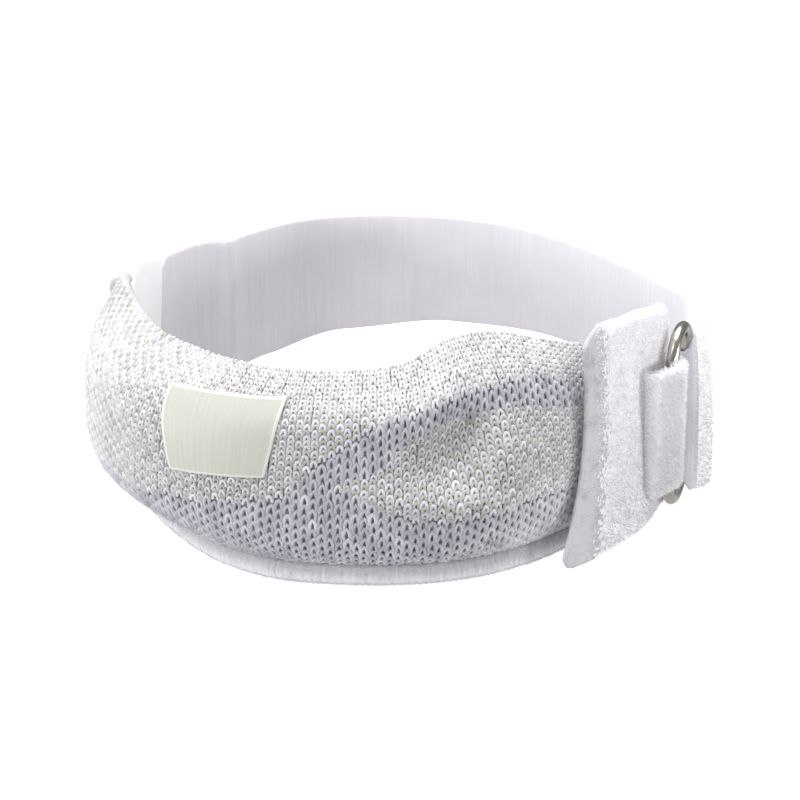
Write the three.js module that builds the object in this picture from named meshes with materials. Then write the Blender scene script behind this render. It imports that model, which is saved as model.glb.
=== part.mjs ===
// Patellar strap: a padded knitted front band, a brushed right tab with an oval ring, and a strap
// that runs round the back, through the ring and back on itself.
// Millimetres, +Z up. The strap stands on its lower edge, the knitted front faces -Y,
// and the origin is under the middle of the loop.

import * as THREE from "three";

// Fabric thicknesses and the clearance between pieces
const clearance = 0.35;
const strapThickness = 1.8;
const tabThickness = 2.0;
const keeperThickness = 1.0;
const labelThickness = 0.7;
const hookThickness = 1.0;
const leftTabThickness = 0.8;

// Middle of the loop's outline in the plan tables below, which comes to stand over the origin
const loopMiddle = { x: 0.6, y: -1.2 };

// Pieces that a plan line is measured in when its length is worked out
const lengthDivisions = 800;

// Knitted front: heights, rim thickness, and how much of the swell shows on the leg side
const weltHeight = 4.6;
const weltThickness = 3.0;
const weltSoftness = 0.5;
const weltRows = 4;
const bandRim = 3.2;
const bandEdgeRound = 1.4;
const edgeRoundPower = 8;
const innerSwellShare = 0.25;
const swellFlatness = 3.4;
const leanPower = 1.6;
const bandSteps = 66;
const bandRows = 16;

// Lower edge of the front from its left end to the tab: place in plan, height of the top edge,
// how far the top edge leans towards the leg, and how far the padding swells outwards
const bandSections = [
  { x: -60.2, y: 13.5, top: 42.0, lean: -0.5, swell: 1.0 },
  { x: -59.6, y: 3.5, top: 42.5, lean: 0.0, swell: 6.0 },
  { x: -57.0, y: -8.0, top: 41.5, lean: 1.0, swell: 9.5 },
  { x: -52.2, y: -20.5, top: 41.5, lean: 1.5, swell: 11.5 },
  { x: -45.5, y: -32.5, top: 42.0, lean: 3.5, swell: 11.0 },
  { x: -36.5, y: -43.8, top: 42.5, lean: 6.0, swell: 8.0 },
  { x: -25.0, y: -51.0, top: 42.5, lean: 8.0, swell: 6.0 },
  { x: -12.0, y: -53.5, top: 42.5, lean: 9.5, swell: 5.0 },
  { x: 2.0, y: -53.5, top: 43.5, lean: 11.0, swell: 5.0 },
  { x: 15.0, y: -50.5, top: 47.5, lean: 12.5, swell: 5.0 },
  { x: 26.0, y: -44.5, top: 48.0, lean: 9.5, swell: 4.0 },
  { x: 34.0, y: -37.6, top: 44.8, lean: 6.0, swell: 2.8 },
  { x: 41.0, y: -30.8, top: 41.5, lean: 5.0, swell: 1.0 },
];

// Swells and dents of the padding: middle along and up the front, reach each way, turn, height
const bandRelief = [
  { along: 0.68, up: 0.82, reachAlong: 0.14, reachUp: 0.085, slope: 0.15, height: 2.4 },
  { along: 0.725, up: 0.6, reachAlong: 0.05, reachUp: 0.14, slope: 1.1, height: -3.6 },
  { along: 0.69, up: 0.38, reachAlong: 0.075, reachUp: 0.08, slope: -0.9, height: 2.2 },
  { along: 0.795, up: 0.58, reachAlong: 0.03, reachUp: 0.2, slope: 0.0, height: 1.7 },
  { along: 0.03, up: 0.85, reachAlong: 0.06, reachUp: 0.075, slope: 0.0, height: -1.4 },
];

// Label on the front: foot left, foot right, head left and head right, along and up the band
const labelCorners = [
  { along: 0.389, up: 0.47 },
  { along: 0.498, up: 0.525 },
  { along: 0.358, up: 0.88 },
  { along: 0.512, up: 0.905 },
];
const labelStandOff = 0.45;
const labelSteps = 12;
const labelRows = 8;

// Right tab: plan line at mid height, then its lower and upper edge and lean along its length
const tabPlan = [
  { x: 30.9, y: -45.1 },
  { x: 42.9, y: -33.9 },
  { x: 49.0, y: -26.6 },
  { x: 52.3, y: -20.7 },
  { x: 55.7, y: -12.9 },
];
const tabSections = [
  { at: 0.0, low: 3.2, high: 44.4, lean: 5.6 },
  { at: 0.045, low: 0.5, high: 46.2, lean: 5.6 },
  { at: 0.09, low: 0.1, high: 47.5, lean: 5.6 },
  { at: 0.15, low: 0.0, high: 48.4, lean: 5.6 },
  { at: 0.5, low: 0.0, high: 48.3, lean: 3.6 },
  { at: 0.88, low: 0.0, high: 47.0, lean: 0.8 },
  { at: 0.96, low: 0.3, high: 45.8, lean: 0.8 },
  { at: 1.0, low: 1.6, high: 43.0, lean: 0.8 },
];
const tabSlant = 10.4;
const tabEndSlant = 3.0;
const tabSlantPower = 2.2;
const tabSteps = 22;
const tabRows = 8;

// Oval ring: middle, outer size, wire, and the heading of its width in plan
const ringSize = { x: 58.0, y: -15.5, z: 21.2, width: 15.0, height: 40.8, wire: 2.6 };
const ringHeading = THREE.MathUtils.degToRad(70);
const ringEndSteps = 12;
const ringSideSteps = 6;
const wireSides = 10;

// Keeper tongue round the ring's left bar: heights and how far it is sewn back along the tab
const keeperSize = { low: 8.0, high: 35.4, slack: 0.0, seam: 0.56, lift: 1.1 };
const keeperTurn = { from: -14, to: 100 };
const keeperTurnSteps = 8;
const keeperSteps = 26;
const keeperRows = 4;

// Strap from the ring round the back to the left tab, in plan
const strapRun = [
  { x: 60.0, y: -3.8 },
  { x: 60.2, y: 2.5 },
  { x: 57.2, y: 9.8 },
  { x: 51.6, y: 19.5 },
  { x: 43.6, y: 30.5 },
  { x: 33.8, y: 41.0 },
  { x: 23.0, y: 48.5 },
  { x: 11.5, y: 52.8 },
  { x: 0.0, y: 54.5 },
  { x: -13.0, y: 54.0 },
  { x: -23.0, y: 51.0 },
  { x: -30.0, y: 46.5 },
  { x: -35.5, y: 41.2 },
  { x: -38.4, y: 37.6 },
  { x: -41.8, y: 36.8 },
  { x: -46.2, y: 34.6 },
  { x: -51.4, y: 30.8 },
  { x: -56.2, y: 25.6 },
  { x: -58.6, y: 20.0 },
];

// Folded end of the strap on its outside, from its free edge to the ring, in plan
const strapReturn = [
  { x: 48.2, y: 33.0 },
  { x: 55.8, y: 22.6 },
  { x: 60.1, y: 13.2 },
  { x: 63.5, y: 4.4 },
  { x: 65.8, y: -4.8 },
];

// Lower and upper edge of the strap by the length from its free edge, with the lean of its top
const strapSections = [
  { at: 0, low: 8.0, high: 30.0, lean: 0.0 },
  { at: 3, low: 5.0, high: 33.0, lean: 0.0 },
  { at: 22, low: 1.0, high: 36.0, lean: 0.0 },
  { at: 32, low: 0.0, high: 38.6, lean: 1.2 },
  { at: 40, low: 0.0, high: 40.0, lean: 3.4 },
  { at: 45, low: 0.8, high: 38.4, lean: 3.0 },
  { at: 50, low: 1.4, high: 36.6, lean: 0.0 },
  { at: 51.8, low: 5.3, high: 34.4, lean: 0.0 },
  { at: 57.4, low: 5.3, high: 33.8, lean: 0.0 },
  { at: 60, low: 3.4, high: 36.5, lean: 0.0 },
  { at: 67, low: 1.5, high: 40.5, lean: 0.8 },
  { at: 78, low: 6.0, high: 40.5, lean: 0.0 },
  { at: 95, low: 13.5, high: 40.0, lean: 0.0 },
  { at: 110, low: 15.5, high: 40.0, lean: 0.0 },
  { at: 140, low: 14.0, high: 40.0, lean: 0.0 },
  { at: 165, low: 11.5, high: 40.0, lean: 0.0 },
  { at: 185, low: 8.5, high: 40.0, lean: 0.0 },
  { at: 203, low: 7.5, high: 40.4, lean: 0.0 },
  { at: 211.5, low: 7.8, high: 39.6, lean: 0.0 },
  { at: 218.5, low: 8.5, high: 30.5, lean: 0.0 },
  { at: 226, low: 9.0, high: 27.0, lean: 0.0 },
];
const strapLeanPower = 3;
const strapTurnSize = { slack: 1.0, gap: 0.45 };
const strapTurnSteps = 7;
const strapSteps = 108;
const strapTurnRange = { from: 40, to: 60, steps: 26, before: 18 };
const strapRows = 4;

// Hidden fastening patch between the strap and its folded end
const hookSize = { from: 4, to: 21, low: 9.0, high: 32.0 };
const hookSteps = 8;

// White tab inside the left end of the knit, in plan, with its edges
const leftTabPlan = [
  { x: -55.0, y: 4.5 },
  { x: -56.3, y: 13.0 },
  { x: -55.4, y: 22.0 },
  { x: -51.6, y: 27.6 },
];
const leftTabSections = [
  { at: 0.0, low: 8.0, high: 32.0 },
  { at: 0.3, low: 7.5, high: 37.0 },
  { at: 0.52, low: 7.0, high: 39.8 },
  { at: 0.75, low: 7.0, high: 40.6 },
  { at: 1.0, low: 8.0, high: 40.2 },
];
const leftTabSlant = 4.5;
const leftTabSteps = 14;
const leftTabRows = 5;

// Smooth value of one column through a table whose rows are an equal step apart
function throughRows(rows, column, along) {
  const step = THREE.MathUtils.clamp(along, 0, 1) * (rows.length - 1);
  const row = Math.min(Math.floor(step), rows.length - 2);
  const part = step - row;
  const value = (index) => rows[THREE.MathUtils.clamp(index, 0, rows.length - 1)][column];
  const rise = (value(row + 1) - value(row - 1)) / 2;
  const nextRise = (value(row + 2) - value(row)) / 2;
  const square = part * part;
  const cube = square * part;
  return (
    value(row) * (2 * cube - 3 * square + 1) +
    value(row + 1) * (3 * square - 2 * cube) +
    rise * (cube - 2 * square + part) +
    nextRise * (cube - square)
  );
}

// Eased value of one column through a table keyed by its own "at" column
function throughPlaces(rows, column, place) {
  const last = rows[rows.length - 1];
  if (place <= rows[0].at) return rows[0][column];
  if (place >= last.at) return last[column];
  const next = rows.findIndex((row) => row.at >= place);
  const before = rows[next - 1];
  const part = THREE.MathUtils.smoothstep(place, before.at, rows[next].at);
  return THREE.MathUtils.lerp(before[column], rows[next][column], part);
}

function planCurve(rows) {
  const curve = new THREE.CatmullRomCurve3(rows.map((row) => new THREE.Vector3(row.x, row.y, 0)));
  curve.arcLengthDivisions = lengthDivisions;
  return curve;
}

// Level unit vector to the right of a heading: outwards on a path that runs anticlockwise
function rightOf(heading) {
  return new THREE.Vector3(heading.y, -heading.x, 0).normalize();
}

// Closed wall between an outer and an inner face, both given over 0 to 1 along and up
function wallGeometry(alongSteps, upSteps, outerAt, innerAt) {
  const columns = upSteps + 1;
  const points = [];
  for (const faceAt of [outerAt, innerAt]) {
    for (let i = 0; i <= alongSteps; i += 1) {
      for (let j = 0; j < columns; j += 1) {
        points.push(faceAt(i / alongSteps, j / upSteps));
      }
    }
  }
  const outer = (i, j) => i * columns + j;
  const inner = (i, j) => (alongSteps + 1) * columns + outer(i, j);
  const corners = [];
  const quad = (a, b, c, d) => corners.push(a, b, c, a, c, d);
  for (let i = 0; i < alongSteps; i += 1) {
    for (let j = 0; j < upSteps; j += 1) {
      quad(outer(i, j), outer(i + 1, j), outer(i + 1, j + 1), outer(i, j + 1));
      quad(inner(i, j), inner(i, j + 1), inner(i + 1, j + 1), inner(i + 1, j));
    }
    quad(inner(i, 0), inner(i + 1, 0), outer(i + 1, 0), outer(i, 0));
    quad(outer(i, upSteps), outer(i + 1, upSteps), inner(i + 1, upSteps), inner(i, upSteps));
  }
  for (let j = 0; j < upSteps; j += 1) {
    quad(inner(0, j), outer(0, j), outer(0, j + 1), inner(0, j + 1));
    quad(
      outer(alongSteps, j),
      inner(alongSteps, j),
      inner(alongSteps, j + 1),
      outer(alongSteps, j + 1),
    );
  }
  const geometry = new THREE.BufferGeometry().setFromPoints(points);
  geometry.setIndex(corners);
  geometry.computeVertexNormals();
  return geometry;
}

function finish(color, roughness, metalness = 0) {
  return new THREE.MeshStandardMaterial({ color, roughness, metalness });
}

const finishes = {
  knit: finish(0xdcd9dc, 0.95),
  welt: finish(0xeceaec, 0.95),
  label: finish(0xe2e4dc, 0.7),
  brushed: finish(0xefedf0, 1),
  strap: finish(0xd3cfd6, 0.85),
  hooks: finish(0xe6e4e8, 0.9),
  smooth: finish(0xf4f4f6, 0.7),
  nickel: finish(0x9a958c, 0.3, 1),
};

function named(name, geometry, material) {
  const mesh = new THREE.Mesh(geometry, material);
  mesh.name = name;
  return mesh;
}

// Knitted front band
const bandCurve = planCurve(bandSections);

function reliefHeight(along, up) {
  let height = 0;
  for (const dent of bandRelief) {
    const across = (along - dent.along) / dent.reachAlong;
    const above = (up - dent.up - dent.slope * (along - dent.along)) / dent.reachUp;
    height += dent.height * Math.exp(-across * across - above * above);
  }
  return height;
}

// Place on the plan line, moved outwards along its level normal
function bandPlan(along, outwards) {
  return bandCurve.getPoint(along).addScaledVector(rightOf(bandCurve.getTangent(along)), outwards);
}

// Point of the band's face at a share of its height
function bandPoint(along, up, outwards) {
  const place = bandPlan(along, outwards);
  const top = throughRows(bandSections, "top", along);
  return place.setZ(THREE.MathUtils.lerp(weltHeight + clearance, top, up));
}

function bandSwell(along, up) {
  const fullness = 1 - Math.abs(2 * up - 1) ** swellFlatness;
  return throughRows(bandSections, "swell", along) * fullness;
}

function bandLean(along, up) {
  return throughRows(bandSections, "lean", along) * up ** leanPower;
}

// The rims of the band thin down towards its lower and upper edge
function edgeRounding(up) {
  return bandEdgeRound * Math.abs(2 * up - 1) ** edgeRoundPower;
}

function bandOuter(along, up, proud = 0) {
  const relief = reliefHeight(along, up) + bandSwell(along, up);
  return bandPoint(along, up, relief - bandLean(along, up) - edgeRounding(up) + proud);
}

function bandInner(along, up) {
  const swell = innerSwellShare * bandSwell(along, up);
  return bandPoint(along, up, swell - bandLean(along, up) - bandRim + edgeRounding(up));
}

function knitBand() {
  return named(
    "knit_band",
    wallGeometry(bandSteps, bandRows, (a, u) => bandOuter(a, u), bandInner),
    finishes.knit,
  );
}

// Welt under the knit: a strip with a soft outer face, flat where it stands
function lowerWelt() {
  const roundness = (up) => weltSoftness * (1 - Math.sin(Math.PI * up));
  const pointAt = (along, up, outwards) => bandPlan(along, outwards).setZ(up * weltHeight);
  const outer = (along, up) => pointAt(along, up, -roundness(up));
  const inner = (along, up) => pointAt(along, up, roundness(up) - weltThickness);
  return named("lower_welt", wallGeometry(bandSteps, weltRows, outer, inner), finishes.welt);
}

function label() {
  const [footLeft, footRight, headLeft, headRight] = labelCorners;
  const between = (column, along, up) => {
    const foot = THREE.MathUtils.lerp(footLeft[column], footRight[column], along);
    const head = THREE.MathUtils.lerp(headLeft[column], headRight[column], along);
    return THREE.MathUtils.lerp(foot, head, up);
  };
  const placeAt = (along, up) => [between("along", along, up), between("up", along, up)];
  const outer = (along, up) => bandOuter(...placeAt(along, up), labelStandOff + labelThickness);
  const inner = (along, up) => bandOuter(...placeAt(along, up), labelStandOff);
  return named("label", wallGeometry(labelSteps, labelRows, outer, inner), finishes.label);
}

// Right tab
const tabCurve = planCurve(tabPlan);

function tabPoint(along, up, outwards) {
  const length = tabCurve.getLength();
  const slant = tabSlant * (1 - (1 - up) ** tabSlantPower);
  const slanted = along + (slant * (1 - along) - tabEndSlant * up * along) / length;
  const place = tabCurve.getPointAt(THREE.MathUtils.clamp(slanted, 0, 1));
  const heading = tabCurve.getTangentAt(THREE.MathUtils.clamp(slanted, 0, 1));
  const lean = throughPlaces(tabSections, "lean", along) * (0.5 - up);
  place.z = THREE.MathUtils.lerp(
    throughPlaces(tabSections, "low", along),
    throughPlaces(tabSections, "high", along),
    up,
  );
  return place.addScaledVector(rightOf(heading), outwards + lean);
}

function rightTab() {
  const outer = (along, up) => tabPoint(along, up, tabThickness / 2);
  const inner = (along, up) => tabPoint(along, up, -tabThickness / 2);
  return named("right_tab", wallGeometry(tabSteps, tabRows, outer, inner), finishes.brushed);
}

// Oval ring: its width runs along the ring heading, its wire is round
const ringAlong = new THREE.Vector3(Math.cos(ringHeading), Math.sin(ringHeading), 0);
const ringOut = rightOf(ringAlong);
const ringMiddle = new THREE.Vector3(ringSize.x, ringSize.y, ringSize.z);
const ringTurn = (ringSize.width - ringSize.wire) / 2;
const ringStraight = ringSize.height - ringSize.wire - 2 * ringTurn;

// Points of the ring's centre line in its own plane, with the direction away from its middle
function ringLine() {
  const line = [];
  for (const side of [1, -1]) {
    for (let i = 0; i <= ringEndSteps; i += 1) {
      const angle = (Math.PI * i) / ringEndSteps;
      const away = new THREE.Vector2(side * Math.cos(angle), side * Math.sin(angle));
      const place = away.clone().multiplyScalar(ringTurn);
      place.y += (side * ringStraight) / 2;
      line.push({ place, away });
    }
    const end = line[line.length - 1];
    for (let i = 1; i < ringSideSteps; i += 1) {
      const place = end.place.clone();
      place.y -= (side * ringStraight * i) / ringSideSteps;
      line.push({ place, away: end.away.clone() });
    }
  }
  return line;
}

function ring() {
  const line = ringLine();
  const points = [];
  for (const { place, away } of line) {
    for (let j = 0; j < wireSides; j += 1) {
      const angle = (2 * Math.PI * j) / wireSides;
      const spread = (Math.cos(angle) * ringSize.wire) / 2;
      const out = (Math.sin(angle) * ringSize.wire) / 2;
      const point = ringMiddle.clone();
      point.addScaledVector(ringAlong, place.x + away.x * spread);
      point.addScaledVector(ringOut, out);
      point.z += place.y + away.y * spread;
      points.push(point);
    }
  }
  const corners = [];
  for (let i = 0; i < line.length; i += 1) {
    const next = (i + 1) % line.length;
    for (let j = 0; j < wireSides; j += 1) {
      const turn = (j + 1) % wireSides;
      const a = i * wireSides + j;
      const b = next * wireSides + j;
      const c = next * wireSides + turn;
      const d = i * wireSides + turn;
      corners.push(a, b, c, a, c, d);
    }
  }
  const geometry = new THREE.BufferGeometry().setFromPoints(points);
  geometry.setIndex(corners);
  geometry.computeVertexNormals();
  return named("ring", geometry, finishes.nickel);
}

// Place beside a ring bar: side is -1 for the left bar and 1 for the right one
function besideBar(side, along, out) {
  const place = ringMiddle.clone().setZ(0);
  place.addScaledVector(ringAlong, side * ringTurn + along);
  return place.addScaledVector(ringOut, out);
}

// Points round a ring bar at a distance, from one angle to another; angle 0 looks along the ring,
// and slack moves the turn from the bar into the ring
function roundBar(side, distance, from, to, steps, slack = 0) {
  const places = [];
  for (let i = 0; i <= steps; i += 1) {
    const angle = THREE.MathUtils.degToRad(THREE.MathUtils.lerp(from, to, i / steps));
    const along = distance * Math.cos(angle) - side * slack;
    places.push(besideBar(side, along, distance * Math.sin(angle)));
  }
  return places;
}

// Keeper tongue: round the ring's left bar from the tab's end, then back over the tab's outer face
function ringKeeper() {
  const distance = ringSize.wire / 2 + clearance + keeperSize.slack + keeperThickness / 2;
  const turn = roundBar(-1, distance, keeperTurn.from, keeperTurn.to, keeperTurnSteps);
  const seam = tabCurve.getPointAt(keeperSize.seam);
  const proud = (tabThickness + keeperThickness) / 2 + clearance + keeperSize.lift;
  seam.addScaledVector(rightOf(tabCurve.getTangentAt(keeperSize.seam)), proud);
  const curve = planCurve([...turn, seam]);
  const pointAt = (along, up, outwards) => {
    const place = curve.getPointAt(along);
    place.z = THREE.MathUtils.lerp(keeperSize.low, keeperSize.high, up);
    return place.addScaledVector(rightOf(curve.getTangentAt(along)), outwards);
  };
  const geometry = wallGeometry(
    keeperSteps,
    keeperRows,
    (along, up) => pointAt(along, up, keeperThickness / 2),
    (along, up) => pointAt(along, up, -keeperThickness / 2),
  );
  return named("ring_keeper", geometry, finishes.brushed);
}

// Strap: folded end, turn round the ring's right bar, run round the back
const strapDistance = ringSize.wire / 2 + strapTurnSize.gap + strapThickness / 2;
const strapCurve = planCurve([
  ...strapReturn,
  ...roundBar(1, strapDistance, 90, 270, strapTurnSteps, strapTurnSize.slack),
  ...strapRun,
]);

function strapPoint(along, up, outwards) {
  const place = strapCurve.getPointAt(along);
  const at = along * strapCurve.getLength();
  const lean = throughPlaces(strapSections, "lean", at) * up ** strapLeanPower;
  place.z = THREE.MathUtils.lerp(
    throughPlaces(strapSections, "low", at),
    throughPlaces(strapSections, "high", at),
    up,
  );
  return place.addScaledVector(rightOf(strapCurve.getTangentAt(along)), outwards + lean);
}

// Share of the strap's length at a share of its steps, which crowd round the ring
function strapShare(progress) {
  const { from, to, steps, before } = strapTurnRange;
  const step = progress * strapSteps;
  const length = strapCurve.getLength();
  if (step <= before) return THREE.MathUtils.mapLinear(step, 0, before, 0, from / length);
  const after = before + steps;
  if (step <= after) return THREE.MathUtils.mapLinear(step, before, after, from, to) / length;
  return THREE.MathUtils.mapLinear(step, after, strapSteps, to / length, 1);
}

function backStrap() {
  const outer = (progress, up) => strapPoint(strapShare(progress), up, strapThickness / 2);
  const inner = (progress, up) => strapPoint(strapShare(progress), up, -strapThickness / 2);
  return named("back_strap", wallGeometry(strapSteps, strapRows, outer, inner), finishes.strap);
}

// Hidden fastening: follows the folded end on its leg side
function hookPatch() {
  const length = strapCurve.getLength();
  const near = strapThickness / 2 + clearance;
  const placeAt = (along, up, outwards) => {
    const share = THREE.MathUtils.lerp(hookSize.from, hookSize.to, along) / length;
    const place = strapCurve.getPointAt(share);
    place.z = THREE.MathUtils.lerp(hookSize.low, hookSize.high, up);
    return place.addScaledVector(rightOf(strapCurve.getTangentAt(share)), outwards);
  };
  const outer = (along, up) => placeAt(along, up, near + hookThickness);
  const inner = (along, up) => placeAt(along, up, near);
  return named("hook_patch", wallGeometry(hookSteps, 1, outer, inner), finishes.hooks);
}

// White tab inside the left end
const leftTabCurve = planCurve(leftTabPlan);

function leftTab() {
  const pointAt = (along, up, outwards) => {
    const slanted = along + (leftTabSlant / leftTabCurve.getLength()) * (up - 1) * along;
    const place = leftTabCurve.getPointAt(slanted);
    place.z = THREE.MathUtils.lerp(
      throughPlaces(leftTabSections, "low", along),
      throughPlaces(leftTabSections, "high", along),
      up,
    );
    return place.addScaledVector(rightOf(leftTabCurve.getTangentAt(slanted)), outwards);
  };
  const legSide = (along, up) => pointAt(along, up, leftTabThickness / 2);
  const farSide = (along, up) => pointAt(along, up, -leftTabThickness / 2);
  return named("left_tab", wallGeometry(leftTabSteps, leftTabRows, legSide, farSide), finishes.smooth);
}

const patellarStrap = new THREE.Group();
patellarStrap.name = "patellar_strap";
patellarStrap.position.set(-loopMiddle.x, -loopMiddle.y, 0);
patellarStrap.add(
  knitBand(),
  lowerWelt(),
  label(),
  leftTab(),
  backStrap(),
  rightTab(),
  ringKeeper(),
  ring(),
  hookPatch(),
);

export default patellarStrap;
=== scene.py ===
import math

import bmesh
import bpy
import numpy as np
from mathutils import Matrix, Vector


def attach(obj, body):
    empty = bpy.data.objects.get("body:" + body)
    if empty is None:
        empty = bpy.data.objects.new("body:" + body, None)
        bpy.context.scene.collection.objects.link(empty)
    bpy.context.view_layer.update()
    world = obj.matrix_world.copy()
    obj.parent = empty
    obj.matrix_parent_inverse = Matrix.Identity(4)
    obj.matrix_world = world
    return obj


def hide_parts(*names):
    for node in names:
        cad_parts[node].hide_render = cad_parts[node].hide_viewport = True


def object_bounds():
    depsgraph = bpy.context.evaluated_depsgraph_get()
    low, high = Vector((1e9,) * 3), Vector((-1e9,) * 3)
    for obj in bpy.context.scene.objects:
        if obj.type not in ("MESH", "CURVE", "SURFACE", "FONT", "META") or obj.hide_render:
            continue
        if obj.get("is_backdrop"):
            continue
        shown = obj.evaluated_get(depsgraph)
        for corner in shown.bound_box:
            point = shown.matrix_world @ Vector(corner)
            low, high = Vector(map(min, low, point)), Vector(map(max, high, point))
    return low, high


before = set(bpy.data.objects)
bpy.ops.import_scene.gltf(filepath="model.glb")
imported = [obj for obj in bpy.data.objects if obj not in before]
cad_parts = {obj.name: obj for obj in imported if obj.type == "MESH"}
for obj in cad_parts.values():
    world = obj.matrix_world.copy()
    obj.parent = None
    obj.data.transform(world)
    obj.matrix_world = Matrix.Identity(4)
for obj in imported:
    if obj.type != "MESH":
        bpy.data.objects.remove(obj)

mm = 0.001  # the tables below are in millimetres
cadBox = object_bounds()  # box of the bare solids
loopMiddle = np.array([0.6, -1.2])  # plan point that stands over the origin
clearance = 0.35


# tables and plan lines

def table(names, *rows):
    return {name: np.array(values, float) for name, values in zip(names.split(), zip(*rows))}


def smooth(value, low, high):
    part = np.clip((value - low) / (high - low), 0.0, 1.0)
    return part * part * (3.0 - 2.0 * part)


def between(value, low, high, soft):  # one from low to high, fading out over soft on both sides
    return smooth(value, low - soft, low) * (1 - smooth(value, high, high + soft))


def unit(vectors):
    return vectors / np.linalg.norm(vectors, axis=-1, keepdims=True)


def runOf(points):  # length run along a line, at each of its points
    return np.concatenate([[0.0], np.cumsum(np.linalg.norm(np.diff(points, axis=0), axis=1))])


def fleckAt(along, rise, alongTurn=37.1, riseTurn=11.7, spread=4375.8):  # speckle from 0 to 1
    return np.modf(np.abs(np.sin(alongTurn * along + riseTurn * rise)) * spread)[0]


def throughRows(values, along):  # smooth column, rows an equal step apart
    last = len(values) - 1
    step = np.clip(along, 0.0, 1.0) * last
    row = np.minimum(np.floor(step).astype(int), last - 1)
    part = step - row
    pick = lambda index: values[np.clip(index, 0, last)]
    rise = (pick(row + 1) - pick(row - 1)) / 2
    nextRise = (pick(row + 2) - pick(row)) / 2
    square, cube = part ** 2, part ** 3
    return (pick(row) * (2 * cube - 3 * square + 1) + pick(row + 1) * (3 * square - 2 * cube)
            + rise * (cube - 2 * square + part) + nextRise * (cube - square))


def throughPlaces(rows, name, place):  # eased column, rows at their own places
    places, values = rows["at"], rows[name]
    row = np.clip(np.searchsorted(places, place) - 1, 0, len(places) - 2)
    part = smooth(place, places[row], places[row + 1])
    return values[row] + (values[row + 1] - values[row]) * part


def heightIn(rows, place, up):  # between the lower and the upper edge of a wall
    low, high = throughPlaces(rows, "low", place), throughPlaces(rows, "high", place)
    return low + (high - low) * up


def curveAt(knots, share, slope=False):  # centripetal curve through plan points
    ends = np.vstack([2 * knots[0] - knots[1], knots, 2 * knots[-1] - knots[-2]])
    step = np.clip(share, 0.0, 1.0) * (len(knots) - 1)
    row = np.minimum(np.floor(step).astype(int), len(knots) - 2)
    part = (step - row)[..., None]
    a, b, c, d = (ends[row + i] for i in range(4))
    gap = lambda p, q: np.sqrt(np.linalg.norm(q - p, axis=-1, keepdims=True))
    before, here, after = gap(a, b), gap(b, c), gap(c, d)
    leave = ((b - a) / before - (c - a) / (before + here) + (c - b) / here) * here
    reach = ((c - b) / here - (d - b) / (here + after) + (d - c) / after) * here
    bend = 3 * (c - b) - 2 * leave - reach
    twist = 2 * (b - c) + leave + reach
    if slope:
        return leave + 2 * bend * part + 3 * twist * part ** 2
    return b + leave * part + bend * part ** 2 + twist * part ** 3


def planLine(knots, spots=801):
    knots = np.asarray(knots, float)
    fine = np.linspace(0.0, 1.0, spots)
    run = runOf(curveAt(knots, fine))
    return {"knots": knots, "fine": fine, "run": run, "length": run[-1]}


def offCurve(knots, share, outwards):  # plan points to the right of the curve's heading
    heading = curveAt(knots, share, slope=True)
    out = unit(np.stack([heading[..., 1], -heading[..., 0]], -1))
    return curveAt(knots, share) + out * outwards[..., None]


def standing(knots, share, outwards, height):  # the same at a height, in the frame
    return np.concatenate([offCurve(knots, share, outwards) - loopMiddle, height[..., None]], -1)


def shareAt(line, part):  # part is a share of the line's length
    return np.interp(np.clip(part, 0, 1) * line["length"], line["run"], line["fine"])


def onLine(line, part, outwards, height):
    return standing(line["knots"], shareAt(line, part), outwards, height)


# meshes

def gridMesh(columns, rows):
    bm = bmesh.new()
    bmesh.ops.create_grid(bm, x_segments=columns - 1, y_segments=rows - 1, size=0.5)
    spots = np.array([vert.co[:2] for vert in bm.verts]) + 0.5
    column = np.rint(spots[:, 0] * (columns - 1)).astype(int)
    row = np.rint(spots[:, 1] * (rows - 1)).astype(int)
    return bm, column, row


def layOut(bm, points, cloth):  # moves the vertices and notes where each lies on its cloth
    layer = bm.verts.layers.float_vector.new("cloth")
    for vert, point, place in zip(bm.verts, points * mm, cloth):
        vert.co = point
        vert[layer] = Vector(place)


def finishPiece(bm, name, material, weld=0.02, zoneOf=None, others=()):
    bmesh.ops.remove_doubles(bm, verts=bm.verts, dist=weld * mm)
    bmesh.ops.dissolve_degenerate(bm, dist=weld * mm / 4, edges=bm.edges)
    bmesh.ops.recalc_face_normals(bm, faces=bm.faces)
    if zoneOf:
        layer = bm.verts.layers.float_vector["cloth"]
        for face in bm.faces:
            middle = sum((vert[layer] for vert in face.verts), Vector()) / len(face.verts)
            face.material_index = zoneOf(*middle)
    mesh = bpy.data.meshes.new(name)
    bm.to_mesh(mesh)
    bm.free()
    return newPiece(mesh, name, material, others)


def newObject(name, data):
    made = bpy.data.objects.new(name, data)
    bpy.context.scene.collection.objects.link(made)
    return made


def newPiece(mesh, name, material, others=()):
    mesh.shade_smooth()
    for finish in (material, *others):
        mesh.materials.append(finish)
    piece = newObject(name, mesh)
    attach(piece, "root")
    return piece


def roundSection(spec):  # once round a wall: share up, side
    edge = spec["thickness"] / 2 / spec["height"]
    rise = np.linspace(edge, 1 - edge, spec["faceRows"])
    turn = np.linspace(0, np.pi, spec["edgeRows"] + 2)[1:-1]
    up = np.concatenate([rise, 1 - edge + edge * np.sin(turn), rise[::-1], edge - edge * np.sin(turn)])
    side = np.concatenate([np.ones_like(rise), np.cos(turn), -np.ones_like(rise), -np.cos(turn)])
    return np.append(up, up[0]), np.append(side, side[0])


def endRounded(steps, length, thickness, rimSteps=5):  # shares of the length, closer at both ends
    rim = thickness / 2 / length * (1 - np.cos(np.linspace(0, np.pi / 2, rimSteps)))
    return np.concatenate([rim[:-1], np.linspace(rim[-1], 1 - rim[-1], steps), 1 - rim[-2::-1]])


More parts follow.
